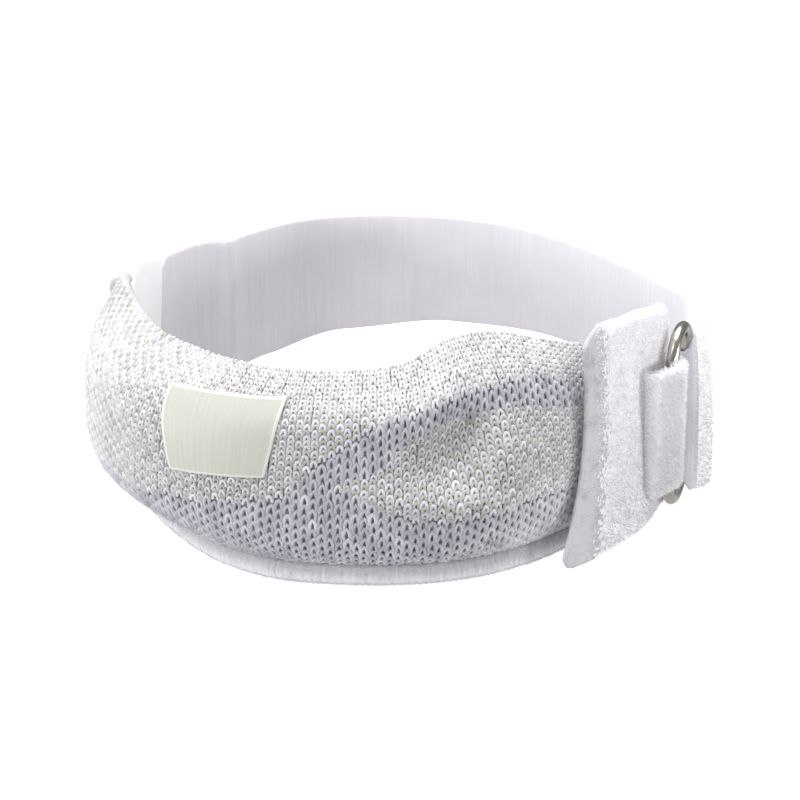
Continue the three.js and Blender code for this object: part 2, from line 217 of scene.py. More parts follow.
def wallPiece(name, spec, length, pointAt, material, zoneOf=None, others=()):
    along = endRounded(spec["steps"], length, spec["thickness"])
    up, side = roundSection(spec)
    bm, column, row = gridMesh(len(along), len(up))
    nearEnd = np.minimum(along, 1 - along) * length / (spec["thickness"] / 2)
    taper = np.sqrt(1 - (1 - np.clip(nearEnd, 0, 1)) ** 2)
    a, u, s = along[column], up[row], side[row] * taper[column]
    points = pointAt(a, u, s * spec["thickness"] / 2)
    layOut(bm, points, np.column_stack([a * length * mm, u * spec["height"] * mm, s]))
    return finishPiece(bm, name, material, zoneOf=zoneOf, others=others)


def arrayPiece(name, points, faces, tint, material):  # many small shapes as one mesh
    mesh = bpy.data.meshes.new(name)
    mesh.from_pydata((points * mm).tolist(), [], faces)
    shade = mesh.attributes.new("tint", "FLOAT", "POINT")
    shade.data.foreach_set("value", tint.astype(np.float32))
    return newPiece(mesh, name, material)


def tubePiece(name, path, radii, sides, material):  # closed tube along points in space
    heading = unit(np.gradient(path, axis=0))
    beside = np.empty_like(path)
    beside[0] = unit(np.cross(heading[0], [0.3, 0.9, 0.2]))  # any way across the path
    for i in range(1, len(path)):  # carried along with no twist
        beside[i] = unit(beside[i - 1] - heading[i] * np.dot(beside[i - 1], heading[i]))
    over = np.cross(heading, beside)
    bm, column, row = gridMesh(len(path), sides + 1)
    turn = row / sides * 2 * np.pi
    ring = np.cos(turn)[:, None] * beside[column] + np.sin(turn)[:, None] * over[column]
    points = path[column] + ring * radii[column][:, None]
    layOut(bm, points, np.zeros_like(points))
    return finishPiece(bm, name, material, weld=0.01)


def sectionSpots(spec, count, draw):  # places all round a wall, with the way they face: up and out
    up, side = roundSection(spec)
    rise, out = up * spec["height"], side * spec["thickness"] / 2
    run = runOf(np.column_stack([rise, out]))
    spot = draw.random(count) * run[-1]
    faceUp, faceOut = -np.gradient(out, run), np.gradient(rise, run)
    return [np.interp(spot, run, values) for values in (up, side, faceUp, faceOut)]


fibreSpec = {"shortest": 0.6, "longest": 1.2, "bendAt": 0.45, "bulge": 0.2,  # shares of a pile's length
             "floor": 0.02, "nudge": 0.05, "nudgeUp": 0.004}


def wallPile(name, spec, length, pointAt, keep, pile, material):  # short bent fibres on a wall
    fibre = fibreSpec
    draw = np.random.default_rng(pile["seed"])
    a = draw.random(pile["count"])
    u, s, faceUp, faceOut = sectionSpots(spec, pile["count"], draw)
    chosen = keep(a * length, u * spec["height"], s)
    a, u, s, faceUp, faceOut = (values[chosen] for values in (a, u, s, faceUp, faceOut))
    half = s * spec["thickness"] / 2
    nudge, nudgeUp = fibre["nudge"], fibre["nudgeUp"]
    root = pointAt(a, u, half)
    out = unit(pointAt(a, u, half + nudge) - pointAt(a, u, half - nudge))
    rise = unit(pointAt(a, u + nudgeUp, half) - pointAt(a, u - nudgeUp, half))
    normal = unit(rise * faceUp[:, None] + out * faceOut[:, None])
    heading = unit(normal + pile["lean"] * unit(draw.standard_normal(root.shape)) + rise * pile["rise"])
    stretch = draw.uniform(fibre["shortest"], fibre["longest"], len(root))
    reach = heading * (pile["length"] * stretch)[:, None]
    across = unit(np.cross(heading, draw.standard_normal(root.shape))) * pile["width"] / 2
    middle = root + fibre["bendAt"] * reach + fibre["bulge"] * normal * pile["length"]
    corners = [root - across, root + across, middle + across, middle - across, root + reach]
    points = np.stack(corners, 1).reshape(-1, 3)
    points[:, 2] = np.maximum(points[:, 2], fibre["floor"])  # at a lower edge they lie on the floor
    start = np.arange(len(root))[:, None] * len(corners)
    faces = (start + [0, 1, 2, 3]).tolist() + (start + [3, 2, 4]).tolist()
    tint = np.repeat(draw.random(len(root)), len(corners))
    return arrayPiece(name, points, faces, tint, material)


# materials

def shaderOf(material):
    return material.node_tree.nodes["Principled BSDF"]


def newMaterial(name, color, roughness, sheen=(0.0, 0.5), **sockets):  # sheen: weight and roughness
    material = bpy.data.materials.new(name)
    material.use_nodes = True
    sockets.update(Base_Color=(*color, 1.0), Roughness=roughness)
    sockets.update(Sheen_Weight=sheen[0], Sheen_Roughness=sheen[1])
    for socket, value in sockets.items():
        shaderOf(material).inputs[socket.replace("_", " ")].default_value = value
    return material


def addNode(material, kind, sockets=(), **settings):
    node = material.node_tree.nodes.new("ShaderNode" + kind)
    for name, value in settings.items():
        setattr(node, name, value)
    for name, value in dict(sockets).items():
        if isinstance(value, bpy.types.NodeSocket):
            material.node_tree.links.new(value, node.inputs[name])
        else:
            node.inputs[name].default_value = value
    return node


def mathOn(material, operation, *values):
    return addNode(material, "Math", dict(enumerate(values)), operation=operation).outputs[0]


def placeOn(material, source, scale):  # object coordinates, or the piece's own cloth places
    if source == "object":
        start = addNode(material, "TexCoord").outputs["Object"]
    else:
        start = addNode(material, "Attribute", attribute_name=source).outputs["Vector"]
    scale = scale if np.ndim(scale) else (scale,) * 3
    return addNode(material, "Mapping", {"Vector": start, "Scale": scale}).outputs["Vector"]


def axisOn(material, source, scale, axis):  # one coordinate of such a place
    return addNode(material, "SeparateXYZ", {0: placeOn(material, source, scale)}).outputs[axis]


def noiseOn(material, source, scale, detail=2.0):
    sockets = {"Vector": placeOn(material, source, scale), "Scale": 1.0, "Detail": detail}
    return addNode(material, "TexNoise", sockets).outputs["Fac"]


def shadeBy(material, factor, dark, light, low=0.3, high=0.7):  # colour between two by a factor
    ramp = addNode(material, "ValToRGB", {"Fac": factor})
    for stop, position, tone in zip(ramp.color_ramp.elements, (low, high), (dark, light)):
        stop.position = position
        stop.color = (*tone, 1.0)
    material.node_tree.links.new(ramp.outputs["Color"], shaderOf(material).inputs["Base Color"])


def addBump(material, heights, strength, distance):
    total = heights[0]
    for height in heights[1:]:
        total = mathOn(material, "ADD", total, height)
    bump = addNode(material, "Bump", {"Height": total, "Strength": strength, "Distance": distance})
    material.node_tree.links.new(bump.outputs["Normal"], shaderOf(material).inputs["Normal"])


def yarnMaterial(name, dark, light, sheen=0.12, rise=None):  # rise: the heights between which painted shade fades, darker lower down and paler higher up
    material = newMaterial(name, light, 0.9, (sheen, 0.5))
    tone = addNode(material, "Attribute", attribute_name="tint").outputs["Fac"]
    if rise:
        # painted shade by height: the fibres are darker near the floor, paler higher up
        limits = {"Value": axisOn(material, "object", 1 / mm, "Z"), "From Min": rise[0], "From Max": rise[1]}
        paintedHeightLight = addNode(material, "MapRange", limits).outputs["Result"]
        tone = mathOn(material, "MULTIPLY_ADD", tone, 0.4, paintedHeightLight)
    shadeBy(material, tone, dark, light, 0.0, 1.0)
    addBump(material, [noiseOn(material, "object", 2600)], 0.35, 0.0002)
    return material


def brushedMaterial(name, dark, light):
    material = newMaterial(name, light, 0.95, (0.45, 0.6))
    cloud = noiseOn(material, "object", 260, 4.0)
    shadeBy(material, cloud, dark, light, 0.32, 0.66)
    nap = noiseOn(material, "object", (900, 900, 700), 4.0)
    addBump(material, [nap], 0.7, 0.0006)
    return material


def weaveMaterial(name, dark, light):  # fine upright streaks with faint blotches
    material = newMaterial(name, light, 0.82, (0.2, 0.5))
    streak = noiseOn(material, "cloth", (1400, 45, 1), 3.0)
    blotch = noiseOn(material, "cloth", (90, 60, 1), 3.0)
    half = mathOn(material, "MULTIPLY", mathOn(material, "ADD", streak, blotch), 0.5)
    shadeBy(material, half, dark, light, 0.36, 0.64)
    rib = noiseOn(material, "cloth", (2200, 160, 1))
    addBump(material, [rib], 0.35, 0.0003)
    return material


def satinMaterial(name, dark, light):  # pressed weave: fine crossing threads
    material = newMaterial(name, light, 0.7, (0.2, 0.4))
    cloud = noiseOn(material, "object", 300, 3.0)
    weft, warp = (noiseOn(material, "cloth", scale) for scale in ((2400, 300, 1), (300, 2400, 1)))
    threads = mathOn(material, "ADD", weft, warp)
    mixed = mathOn(material, "MULTIPLY_ADD", threads, 0.5, cloud)
    shadeBy(material, mixed, dark, light, 0.7, 1.0)
    fuzz = noiseOn(material, "object", 2400, 3.0)
    addBump(material, [threads, fuzz], 0.3, 0.0002)
    return material


whiteYarn = yarnMaterial("whiteYarn", (0.50, 0.482, 0.535), (0.80, 0.79, 0.825))
lavenderYarn = yarnMaterial("lavenderYarn", (0.35, 0.335, 0.38), (0.76, 0.74, 0.785))
oliveYarn = yarnMaterial("oliveYarn", (0.34, 0.332, 0.30), (0.70, 0.69, 0.665))
plainYarn = yarnMaterial("plainYarn", (0.60, 0.58, 0.62), (0.70, 0.68, 0.72))
# pile, keeper and fold fibres: painted shade, darker towards the floor and paler higher up
pileFibre = yarnMaterial("pileFibre", (0.66, 0.647, 0.68), (0.98, 0.968, 0.988), 0.5, (6.0, 44.0))
keeperFibre = yarnMaterial("keeperFibre", (0.80, 0.787, 0.825), (0.98, 0.966, 0.995), 0.5, (0.0, 34.0))
foldFibre = yarnMaterial("foldFibre", (0.60, 0.588, 0.62), (0.90, 0.885, 0.915), 0.5, (2.0, 34.0))
# painted shade: the rolled edge is given a darker cloth than its own near-white, so the strongly lit roll
# keeps its shading
shadedRolledCloth = brushedMaterial("shadedRolledCloth", (0.38, 0.372, 0.395), (0.45, 0.44, 0.465))
brushedWhite = brushedMaterial("brushedWhite", (0.80, 0.785, 0.825), (0.90, 0.885, 0.92))
pressedSeam = satinMaterial("pressedSeam", (0.32, 0.308, 0.332), (0.49, 0.475, 0.505))
# painted shade: a darker copy of the strap's weave, used where the strap turns in the ring's hollow
shadedTurnWeave = weaveMaterial("shadedTurnWeave", (0.44, 0.425, 0.47), (0.62, 0.605, 0.655))
strapWeave = weaveMaterial("strapWeave", (0.67, 0.647, 0.69), (0.735, 0.712, 0.755))
print("materials made")


# knitted front: surface shared by the padding, the stitches, the label and the welt

bandSpec = {
    "low": 4.95, "rim": 3.2, "edgeRound": 1.4, "roundPower": 8, "innerSwell": 0.25,
    "flatness": 3.4, "leanPower": 1.6, "earDrop": 3.2, "earReach": 0.045,
    "sink": 0.4, "sinkRim": 0.01,  # the padding lies this far under the stitches' middle
    "columns": 190, "outerRows": 56, "innerRows": 28,
}
bandSections = table(
    "x y top lean swell",
    (-60.2, 13.5, 42.0, -0.5, 1.0), (-59.6, 3.5, 42.5, 0.0, 6.0), (-57.0, -8.0, 41.5, 1.0, 9.5),
    (-52.2, -20.5, 41.5, 1.5, 11.5), (-45.5, -32.5, 42.0, 3.5, 11.0), (-36.5, -43.8, 42.5, 6.0, 8.0),
    (-25.0, -51.0, 42.5, 8.0, 6.0), (-12.0, -53.5, 42.5, 9.5, 5.0), (2.0, -53.5, 43.5, 11.0, 5.0),
    (15.0, -50.5, 47.5, 12.5, 5.0), (26.0, -44.5, 48.0, 9.5, 4.0), (34.0, -37.6, 44.8, 6.0, 2.8),
    (41.0, -30.8, 41.5, 5.0, 1.0),
)
bandRelief = [  # along, up, reach along, reach up, slope, height
    (0.68, 0.82, 0.14, 0.085, 0.15, 2.4),
    (0.725, 0.6, 0.05, 0.14, 1.1, -3.6),
    (0.69, 0.38, 0.075, 0.08, -0.9, 2.2),
    (0.795, 0.58, 0.03, 0.2, 0.0, 1.7),
    (0.03, 0.85, 0.06, 0.075, 0.0, -1.4),
]
bandPlan = np.column_stack([bandSections["x"], bandSections["y"]])


def bandPlace(along, outwards, height):
    return standing(bandPlan, along, outwards, height)


def bandHeight(along, up):
    top = throughRows(bandSections["top"], along)
    top = top - bandSpec["earDrop"] * (1 - np.clip(along / bandSpec["earReach"], 0, 1)) ** 2
    return bandSpec["low"] + (top - bandSpec["low"]) * up


def bandShape(along, up):  # swell, lean and rim rounding at a place
    reach = np.abs(2 * up - 1)
    swell = throughRows(bandSections["swell"], along) * (1 - reach ** bandSpec["flatness"])
    lean = throughRows(bandSections["lean"], along) * np.sign(up) * np.abs(up) ** bandSpec["leanPower"]
    return swell, lean, bandSpec["edgeRound"] * reach ** bandSpec["roundPower"]


def hump(along, up, middle, level, reachAlong, reachUp, slope, size):
    across = (along - middle) / reachAlong
    above = (up - level - slope * (along - middle)) / reachUp
    return size * np.exp(-across ** 2 - above ** 2)


def reliefAt(along, up):
    return sum(hump(along, up, *row) for row in bandRelief)


def bandOuter(along, up):
    swell, lean, rounding = bandShape(along, up)
    return bandPlace(along, reliefAt(along, up) + swell - lean - rounding, bandHeight(along, up))


def bandInner(along, up):
    swell, lean, rounding = bandShape(along, up)
    outwards = bandSpec["innerSwell"] * swell - lean - bandSpec["rim"] + rounding
    return bandPlace(along, outwards, bandHeight(along, up))


def normalOf(surface, along, up, nudge=0.002):
    across = surface(along + nudge, up) - surface(along - nudge, up)
    rise = surface(along, up + nudge) - surface(along, up - nudge)
    return unit(np.cross(across, rise))


def raised(surface, along, up, lift, rim=0.012):  # off the surface, whose slope is taken inside its rims
    return surface(along, up) + normalOf(surface, along, np.clip(up, rim, 1 - rim)) * lift[..., None]


# zones of open tuck stitches in the two-colour knit, by share along and up the front
openFoot = table("along up", (0.0, 0.2), (0.19, 0.22), (0.25, 0.3), (0.34, 0.27), (0.4, 0.33), (0.48, 0.38),
                 (0.523, 0.43), (0.557, 0.485), (0.59, 0.475), (0.628, 0.38), (0.667, 0.305), (0.707, 0.28),
                 (0.78, 0.27), (0.883, 0.28), (1.0, 0.3))
openWave = table("along low high", (0.53, 0.45, 0.5), (0.557, 0.48, 0.59), (0.58, 0.48, 0.66),
                 (0.618, 0.54, 0.785), (0.64, 0.58, 0.81), (0.657, 0.685, 0.825), (0.7, 0.71, 0.82),
                 (0.75, 0.695, 0.81), (0.797, 0.73, 0.815), (0.855, 0.7, 0.83), (1.0, 0.68, 0.83))


def isOpen(along, up):
    edge = lambda rows, name: np.interp(along, rows["along"], rows[name])
    wave = (up > edge(openWave, "low")) & (up < edge(openWave, "high")) & (along > openWave["along"][0])
    return (up < edge(openFoot, "up")) | wave


def paddingMaterial():
    material = newMaterial("knitPadding", (0.4, 0.39, 0.38), 0.95)
    # dark grey padding: painted shade in the gaps between stitches, paler in the open mesh and on the leg
    # side, with painted light at the top rim and the left end
    gapShadePaleness = axisOn(material, "cloth", 1, "Z")
    shadeBy(material, gapShadePaleness, (0.32, 0.31, 0.30), (0.42, 0.40, 0.42), 0.0, 1.0)
    addBump(material, [noiseOn(material, "object", 1800)], 0.5, 0.0003)
    return material


def knitPadding():
    outerRise = np.linspace(0, 1, bandSpec["outerRows"])
    innerRise = np.linspace(1, 0, bandSpec["innerRows"])
    up = np.concatenate([outerRise, innerRise, outerRise[:1]])
    inside = np.concatenate([np.zeros(len(outerRise)), np.ones(len(innerRise)), [0]])
    along = np.linspace(0, 1, bandSpec["columns"])
    bm, column, row = gridMesh(len(along), len(up))
    a, u = along[column], up[row]
    sink, rim = np.full_like(a, bandSpec["sink"]), bandSpec["sinkRim"]
    outer, inner = raised(bandOuter, a, u, -sink, rim), raised(bandInner, a, u, sink, rim)
    points = np.where(inside[row][:, None] > 0.5, inner, outer)
    # padding paleness: open mesh and leg side, plus painted light at the top rim and the left end
    zone = isOpen(a, u) + inside[row] + smooth(u, 0.72, 0.9) + smooth(a, 0.36, 0.1)
    layOut(bm, points, np.column_stack([a, u, np.clip(zone, 0, 1)]))
    bmesh.ops.remove_doubles(bm, verts=bm.verts, dist=0.01 * mm)
    bmesh.ops.holes_fill(bm, edges=[edge for edge in bm.edges if edge.is_boundary], sides=0)
    piece = finishPiece(bm, "knitPadding", paddingMaterial(), weld=0.005)
    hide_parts("knit_band")


# stitches: each a small arch of yarn whose feet tuck under the head of the one below

stitchSpec = {
    "wale": 1.66, "course": 1.06,  # pitch across and up
    "detail": (8, 6), "plainDetail": (6, 4),  # steps along the yarn and sides round it
    "yarn": 0.39, "openYarn": 0.46,  # radius
    "jitter": 0.06, "jitterOut": 0.6, "widthSpread": 0.06, "seed": 7, "lowest": -0.03, "topmost": 1.012,
    "alongSpots": 601, "upSpots": 201,  # where lengths are measured
}
closeArch = {"foot": 0.36, "top": 0.5, "bottom": -0.7, "head": 0.12, "tuck": -0.12, "power": 1.6, "bow": 0.5}
openArch = {"foot": 0.43, "top": 0.8, "bottom": -1.35, "head": 0.08, "tuck": -0.1, "power": 1.25, "bow": 0.72}
# yarn tone: a base and a random spread, and painted light that makes the left end paler, less so higher up
toneSpec = {"base": 0.17, "spread": 0.13, "leftFrom": 0.38, "leftTo": 0.1, "leftFade": 0.9}
paintedDentShade = (0.62, 0.52, 0.16, 0.22, 0.0, -0.17)  # painted shade in the dent, as a row of the relief
paintedLightZones = [  # painted light and shade on the yarn tone: share of pale yarn, then from where to where it grows along and up
    (0.24, 0.70, 0.84, 0.5, 0.2),  # painted light, low right
    (0.24, 0.25, 0.4, 0.8, 0.93),  # painted light, top rim
    (-0.5, 0.2, 0.04, 0.5, 0.95),  # painted shade, rolled ear
]


def archTube(arch, radius, steps, sides):  # one stitch in millimetres: across, up, out of the cloth
    run = np.linspace(-1, 1, steps + 1)
    reach = np.abs(run)
    across = arch["foot"] * np.sin(run * np.pi * arch["bow"]) * stitchSpec["wale"]
    rise = (arch["top"] - (arch["top"] - arch["bottom"]) * reach ** arch["power"]) * stitchSpec["course"]
    out = arch["head"] + (arch["tuck"] - arch["head"]) * reach ** 2
    line = np.column_stack([across, rise, out])
    heading = unit(np.gradient(line, axis=0))
    beside = unit(np.cross(heading, [0, 0, 1.0]))
    over = np.cross(beside, heading)
    turn = np.linspace(0, 2 * np.pi, sides, endpoint=False)
    ring = np.cos(turn)[None, :, None] * beside[:, None] + np.sin(turn)[None, :, None] * over[:, None]
    points = (line[:, None] + radius * ring).reshape(-1, 3)
    i, j = np.meshgrid(np.arange(steps), np.arange(sides), indexing="ij")
    corner = lambda a, b: a * sides + b % sides
    corners = [corner(i, j), corner(i, j + 1), corner(i + 1, j + 1), corner(i + 1, j)]
    return points, np.stack(corners, -1).reshape(-1, 4)


def knitGrid(surface):  # wale places and, for each, course places by true length
    fine = np.linspace(0, 1, stitchSpec["alongSpots"])
    run = runOf(surface(fine, np.full_like(fine, 0.5)))
    wales = int(round(run[-1] / stitchSpec["wale"]))
    alongs = np.interp((np.arange(wales) + 0.5) / wales, run / run[-1], fine)
    rise = np.linspace(0, 1, stitchSpec["upSpots"])
    a, u = np.meshgrid(alongs, rise, indexing="ij")
    climb = np.linalg.norm(np.diff(surface(a, u), axis=1), axis=2)
    climb = np.concatenate([np.zeros((wales, 1)), np.cumsum(climb, axis=1)], axis=1)
    courses = int(round(np.median(climb[:, -1]) / stitchSpec["course"]))
    levels = (np.arange(courses) + 0.5) / courses
    ups = np.stack([np.interp(levels, c / c[-1], rise) for c in climb])
    return alongs, ups


def knitTone(along, up):  # yarn tone from dark to pale: a base, painted light that makes the left, the low right and the top rim paler, painted shade in the dent and at the rolled ear
    left = smooth(along, toneSpec["leftFrom"], toneSpec["leftTo"]) * (1 - toneSpec["leftFade"] * up)
    tone = toneSpec["base"] + left + hump(along, up, *paintedDentShade)
    for share, alongFrom, alongTo, upFrom, upTo in paintedLightZones:
        tone = tone + share * smooth(along, alongFrom, alongTo) * smooth(up, upFrom, upTo)
    return tone


def stitchPiece(name, surface, alongs, ups, chosen, arch, radius, material, slotName="knit", plain=False):
    spec = stitchSpec
    wale, course = np.nonzero(chosen)
    points, faces = archTube(arch, radius, *spec["plainDetail" if plain else "detail"])
    draw = np.random.default_rng(spec["seed"])
    shake = spec["jitter"] * draw.standard_normal((len(wale), 3))
    width = 1 + spec["widthSpread"] * draw.standard_normal(len(wale))
    pitchAlong = np.gradient(alongs)[wale]
    pitchUp = np.gradient(ups, axis=1)[wale, course]
    across = points[None, :, 0] / spec["wale"] * width[:, None] + shake[:, :1]
    rise = points[None, :, 1] / spec["course"] + shake[:, 1:2]
    out = points[None, :, 2] + spec["jitterOut"] * shake[:, 2:3]
    a = np.clip(alongs[wale][:, None] + across * pitchAlong[:, None], 0.0, 1.0)
    u = ups[wale, course][:, None] + rise * pitchUp[:, None]
    place = raised(surface, a, np.clip(u, spec["lowest"], spec["topmost"]), out)
    count = points.shape[0]
    joined = (faces[None] + np.arange(len(wale))[:, None, None] * count).reshape(-1, 4)
    tone = knitTone(alongs[wale], ups[wale, course]) + toneSpec["spread"] * draw.standard_normal(len(wale))
    tint = np.repeat(np.clip(tone, 0, 1), count)
    return arrayPiece(name, place.reshape(-1, 3), joined.tolist(), tint, material)


def knitStitches():
    alongs, ups = knitGrid(bandOuter)
    even = np.indices(ups.shape).sum(0) % 2 == 0
    openZone = isOpen(alongs[:, None], ups)
    yarn, openYarn = stitchSpec["yarn"], stitchSpec["openYarn"]
    front = (bandOuter, alongs, ups)
    stitchPiece("openStitches", *front, openZone & even, openArch, openYarn, lavenderYarn)
    stitchPiece("whiteStitches", *front, ~openZone & even, closeArch, yarn, whiteYarn)
    stitchPiece("oliveStitches", *front, ~openZone & ~even, closeArch, yarn, oliveYarn)
    legSide = lambda along, up: bandInner(1 - along, up)  # seen from the leg, left and right swap
    alongs, ups = knitGrid(legSide)
    everywhere = np.ones_like(ups, bool)
    stitchPiece("legStitches", legSide, alongs, ups, everywhere, closeArch, yarn, plainYarn, plain=True)


# loose fibre ends that stand out of the yarn
fuzzSpec = {"thickness": 0.7, "height": 48.0, "length": 165.0, "faceRows": 12, "edgeRows": 2}
fuzzPile = {"count": 48000, "length": 0.55, "width": 0.05, "lean": 1.6, "rise": 0.0, "seed": 61}


def knitFuzz():
    pointAt = lambda along, up, side: raised(bandOuter, along, up, side)
    outside = lambda along, rise, side: side > 0.5
    wallPile("knitFuzz", fuzzSpec, fuzzSpec["length"], pointAt, outside, fuzzPile, whiteYarn)


# rolled edge: up the left end, round the ear and along the top rim
rollSpec = {"low": 0.3, "reach": 0.42, "endRadius": 1.2, "earRadius": 1.5, "rimRadius": 0.85,
            "tipRadius": 0.35, "steps": 130, "sides": 12, "endKnots": 9, "rimKnots": 22, "lift": -0.35,
            "turnOut": 2.2, "turnFrom": 0.6, "turnTo": 0.95, "widenFrom": 0.7, "rimAfter": 0.12,
            "tipShare": 0.01, "leastRadius": 0.005}


def rolledEdge():
    roll = rollSpec
    middle = lambda along, up: (bandOuter(along, up) + bandInner(along, up)) / 2
    rise = np.linspace(roll["low"], 1, roll["endKnots"])
    start = np.zeros_like(rise)
    turnedOut = unit(bandOuter(start, rise) - bandInner(start, rise)) * roll["turnOut"]
    end = middle(start, rise) + turnedOut * smooth(rise, roll["turnFrom"], roll["turnTo"])[:, None]
    run = np.linspace(0, roll["reach"], roll["rimKnots"])[1:]
    top = middle(run, np.ones_like(run)) + [0, 0, roll["lift"]]
    knots = np.vstack([end, top])
    share = np.linspace(0, 1, roll["steps"])
    ear = len(end) / len(knots)
    radii = np.interp(share, [0, ear * roll["widenFrom"], ear, ear + roll["rimAfter"], 1],
                      [roll[key + "Radius"] for key in ("end", "end", "ear", "rim", "tip")])
    nearTip = np.clip(np.minimum(share, 1 - share) / roll["tipShare"], 0, 1)
    radii = radii * np.sqrt(nearTip) + roll["leastRadius"]
    tubePiece("rolledEdge", curveAt(knots, share), radii, roll["sides"], shadedRolledCloth)


knitPadding()
knitStitches()
knitFuzz()
rolledEdge()
print("knitted front made")


# welt under the knit

weltSpec = {"thickness": 3.0, "height": 4.6, "softness": 0.5, "steps": 420, "faceRows": 8, "edgeRows": 4,
            "ribs": 105, "ribHeight": 0.07}
weltPile = {"count": 16000, "length": 0.32, "width": 0.07, "lean": 0.5, "rise": -0.9, "seed": 21}
hemThread = {"foot": 0.5, "top": 0.5, "bottom": -0.5, "head": 0.1, "tuck": 0.02, "power": 1.3, "bow": 0.5,
             "radius": 0.11, "pitch": 1.15, "level": 0.16, "step": 0.13}


def weltPoint(along, up, side):
    spec = weltSpec
    soft = spec["softness"] * (1 - np.sin(np.pi * np.clip(up, 0, 1)))
    rib = spec["ribHeight"] * np.sin(2 * np.pi * spec["ribs"] * along)
    half = spec["thickness"] / 2
    outwards = side - half + np.sign(side) * (rib - soft) * np.abs(side) / half
    return bandPlace(along, outwards, up * (spec["height"] + clearance))


def weltMaterial():  # painted shade under the knit: darker towards the top, lighter towards the hem, finely streaked
    material = newMaterial("weltCloth", (0.8, 0.79, 0.81), 0.95, (0.4, 0.6))
    height = axisOn(material, "cloth", 1 / (weltSpec["height"] * mm), "Y")
    streak = noiseOn(material, "cloth", (1500, 120, 1), 3.0)
    streakAndShade = mathOn(material, "MULTIPLY_ADD", streak, 0.7, height)
    shadeBy(material, streakAndShade, (0.74, 0.73, 0.745), (0.45, 0.437, 0.468), 0.5, 1.0)
    addBump(material, [streak, noiseOn(material, "object", (1500, 1500, 500), 3.0)], 0.5, 0.0004)
    return material


def lowerWelt():
    length = planLine(bandPlan)["length"]
    piece = wallPiece("lowerWelt", weltSpec, length, weltPoint, weltMaterial())
    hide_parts("lower_welt")
    outside = lambda along, rise, side: side > -0.2
    wallPile("weltNap", weltSpec, length, weltPoint, outside, weltPile, pileFibre)
    face = lambda along, up: weltPoint(along, up, np.full_like(along, weltSpec["thickness"] / 2))
    count = int(length / hemThread["pitch"])
    alongs = (np.arange(count) + 0.5) / count
    levels = hemThread["level"] + hemThread["step"] * np.tile([-1.0, 0.0, 1.0], (count, 1))
    row = np.tile([False, True, False], (count, 1))
    stitchPiece("hemThread", face, alongs, levels, row, hemThread, hemThread["radius"], whiteYarn, "welt")


lowerWelt()
print("welt made")


# label

labelSpec = {"standOff": 0.4, "thickness": 0.6, "steps": 63, "faceRows": 51, "edgeRows": 2, "height": 17.0,
             "width": 21.0, "border": 0.6}
labelCorners = table("along up", (0.389, 0.47), (0.498, 0.525), (0.358, 0.88), (0.512, 0.905))


def labelPoint(across, up, side):
    place = {}
    for name, (footLeft, footRight, headLeft, headRight) in labelCorners.items():
        foot = footLeft + (footRight - footLeft) * across
        head = headLeft + (headRight - headLeft) * across
        place[name] = foot + (head - foot) * up
    lift = labelSpec["standOff"] + labelSpec["thickness"] / 2 + side
    return raised(bandOuter, place["along"], place["up"], lift)


def labelMaterial(name, dark, light):
    material = newMaterial(name, light, 0.5)
    ribs = noiseOn(material, "cloth", (2000, 60, 1))
    shadeBy(material, ribs, dark, light, 0.35, 0.65)
    addBump(material, [ribs, noiseOn(material, "object", 900)], 0.2, 0.0003)
    return material


def label():
    field = labelMaterial("labelField", (0.395, 0.405, 0.354), (0.428, 0.437, 0.386))
    # painted shade: the label's off-white border is given a darker grey, so its lit top edge is not blown out
    edge = labelMaterial("shadedLabelEdge", (0.54, 0.54, 0.51), (0.59, 0.59, 0.56))
    width, height, border = (labelSpec[key] * mm for key in ("width", "height", "border"))
    zoneOf = lambda along, rise, side: int(min(along, width - along, rise, height - rise) < border)
    piece = wallPiece("label", labelSpec, labelSpec["width"], labelPoint, field, zoneOf, [edge])
    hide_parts("label")


label()
print("label made")


# right tab

tabSpec = {"thickness": 2.0, "height": 47.0, "steps": 100, "faceRows": 84, "edgeRows": 5,
           "slant": 10.4, "endSlant": 3.0, "slantPower": 2.2,
           "strip": 7.4, "stripWiden": 1.6, "widenFrom": 18.0, "widenTo": 4.0, "border": 0.9,
           "pressed": 0.45, "soft": 2.2, "ragged": 3.0, "fade": 6.0, "fadeShift": 0.7, "borderFade": 0.8}
tabPile = {"count": 76000, "length": 0.5, "width": 0.1, "lean": 0.8, "rise": -0.25, "seed": 31}
tabLine = planLine([(30.9, -45.1), (42.9, -33.9), (49.0, -26.6), (52.3, -20.7), (55.7, -12.9)])
tabSections = table(
    "at low high lean",
    (0.0, 3.2, 44.4, 5.6), (0.012, 1.7, 45.0, 5.6), (0.035, 0.6, 46.0, 5.6), (0.08, 0.1, 47.4, 5.6),
    (0.15, 0.0, 48.4, 5.6), (0.5, 0.0, 48.3, 3.6), (0.88, 0.0, 47.0, 0.8), (0.96, 0.3, 45.8, 0.8),
    (1.0, 1.6, 43.0, 0.8),
)
tabSeam = {"from": 22.0, "to": 26.6, "low": 11.0, "high": 32.0,  # pressed in by the keeper
           "soft": 1.6, "softUp": 4.8, "depth": 0.3}


def tabZones(along, rise):  # how far a place is inside the pile, past the strip and the border
    strip = tabSpec["strip"] + tabSpec["stripWiden"] * smooth(rise, tabSpec["widenFrom"], tabSpec["widenTo"])
    return along - strip, rise - tabSpec["border"]


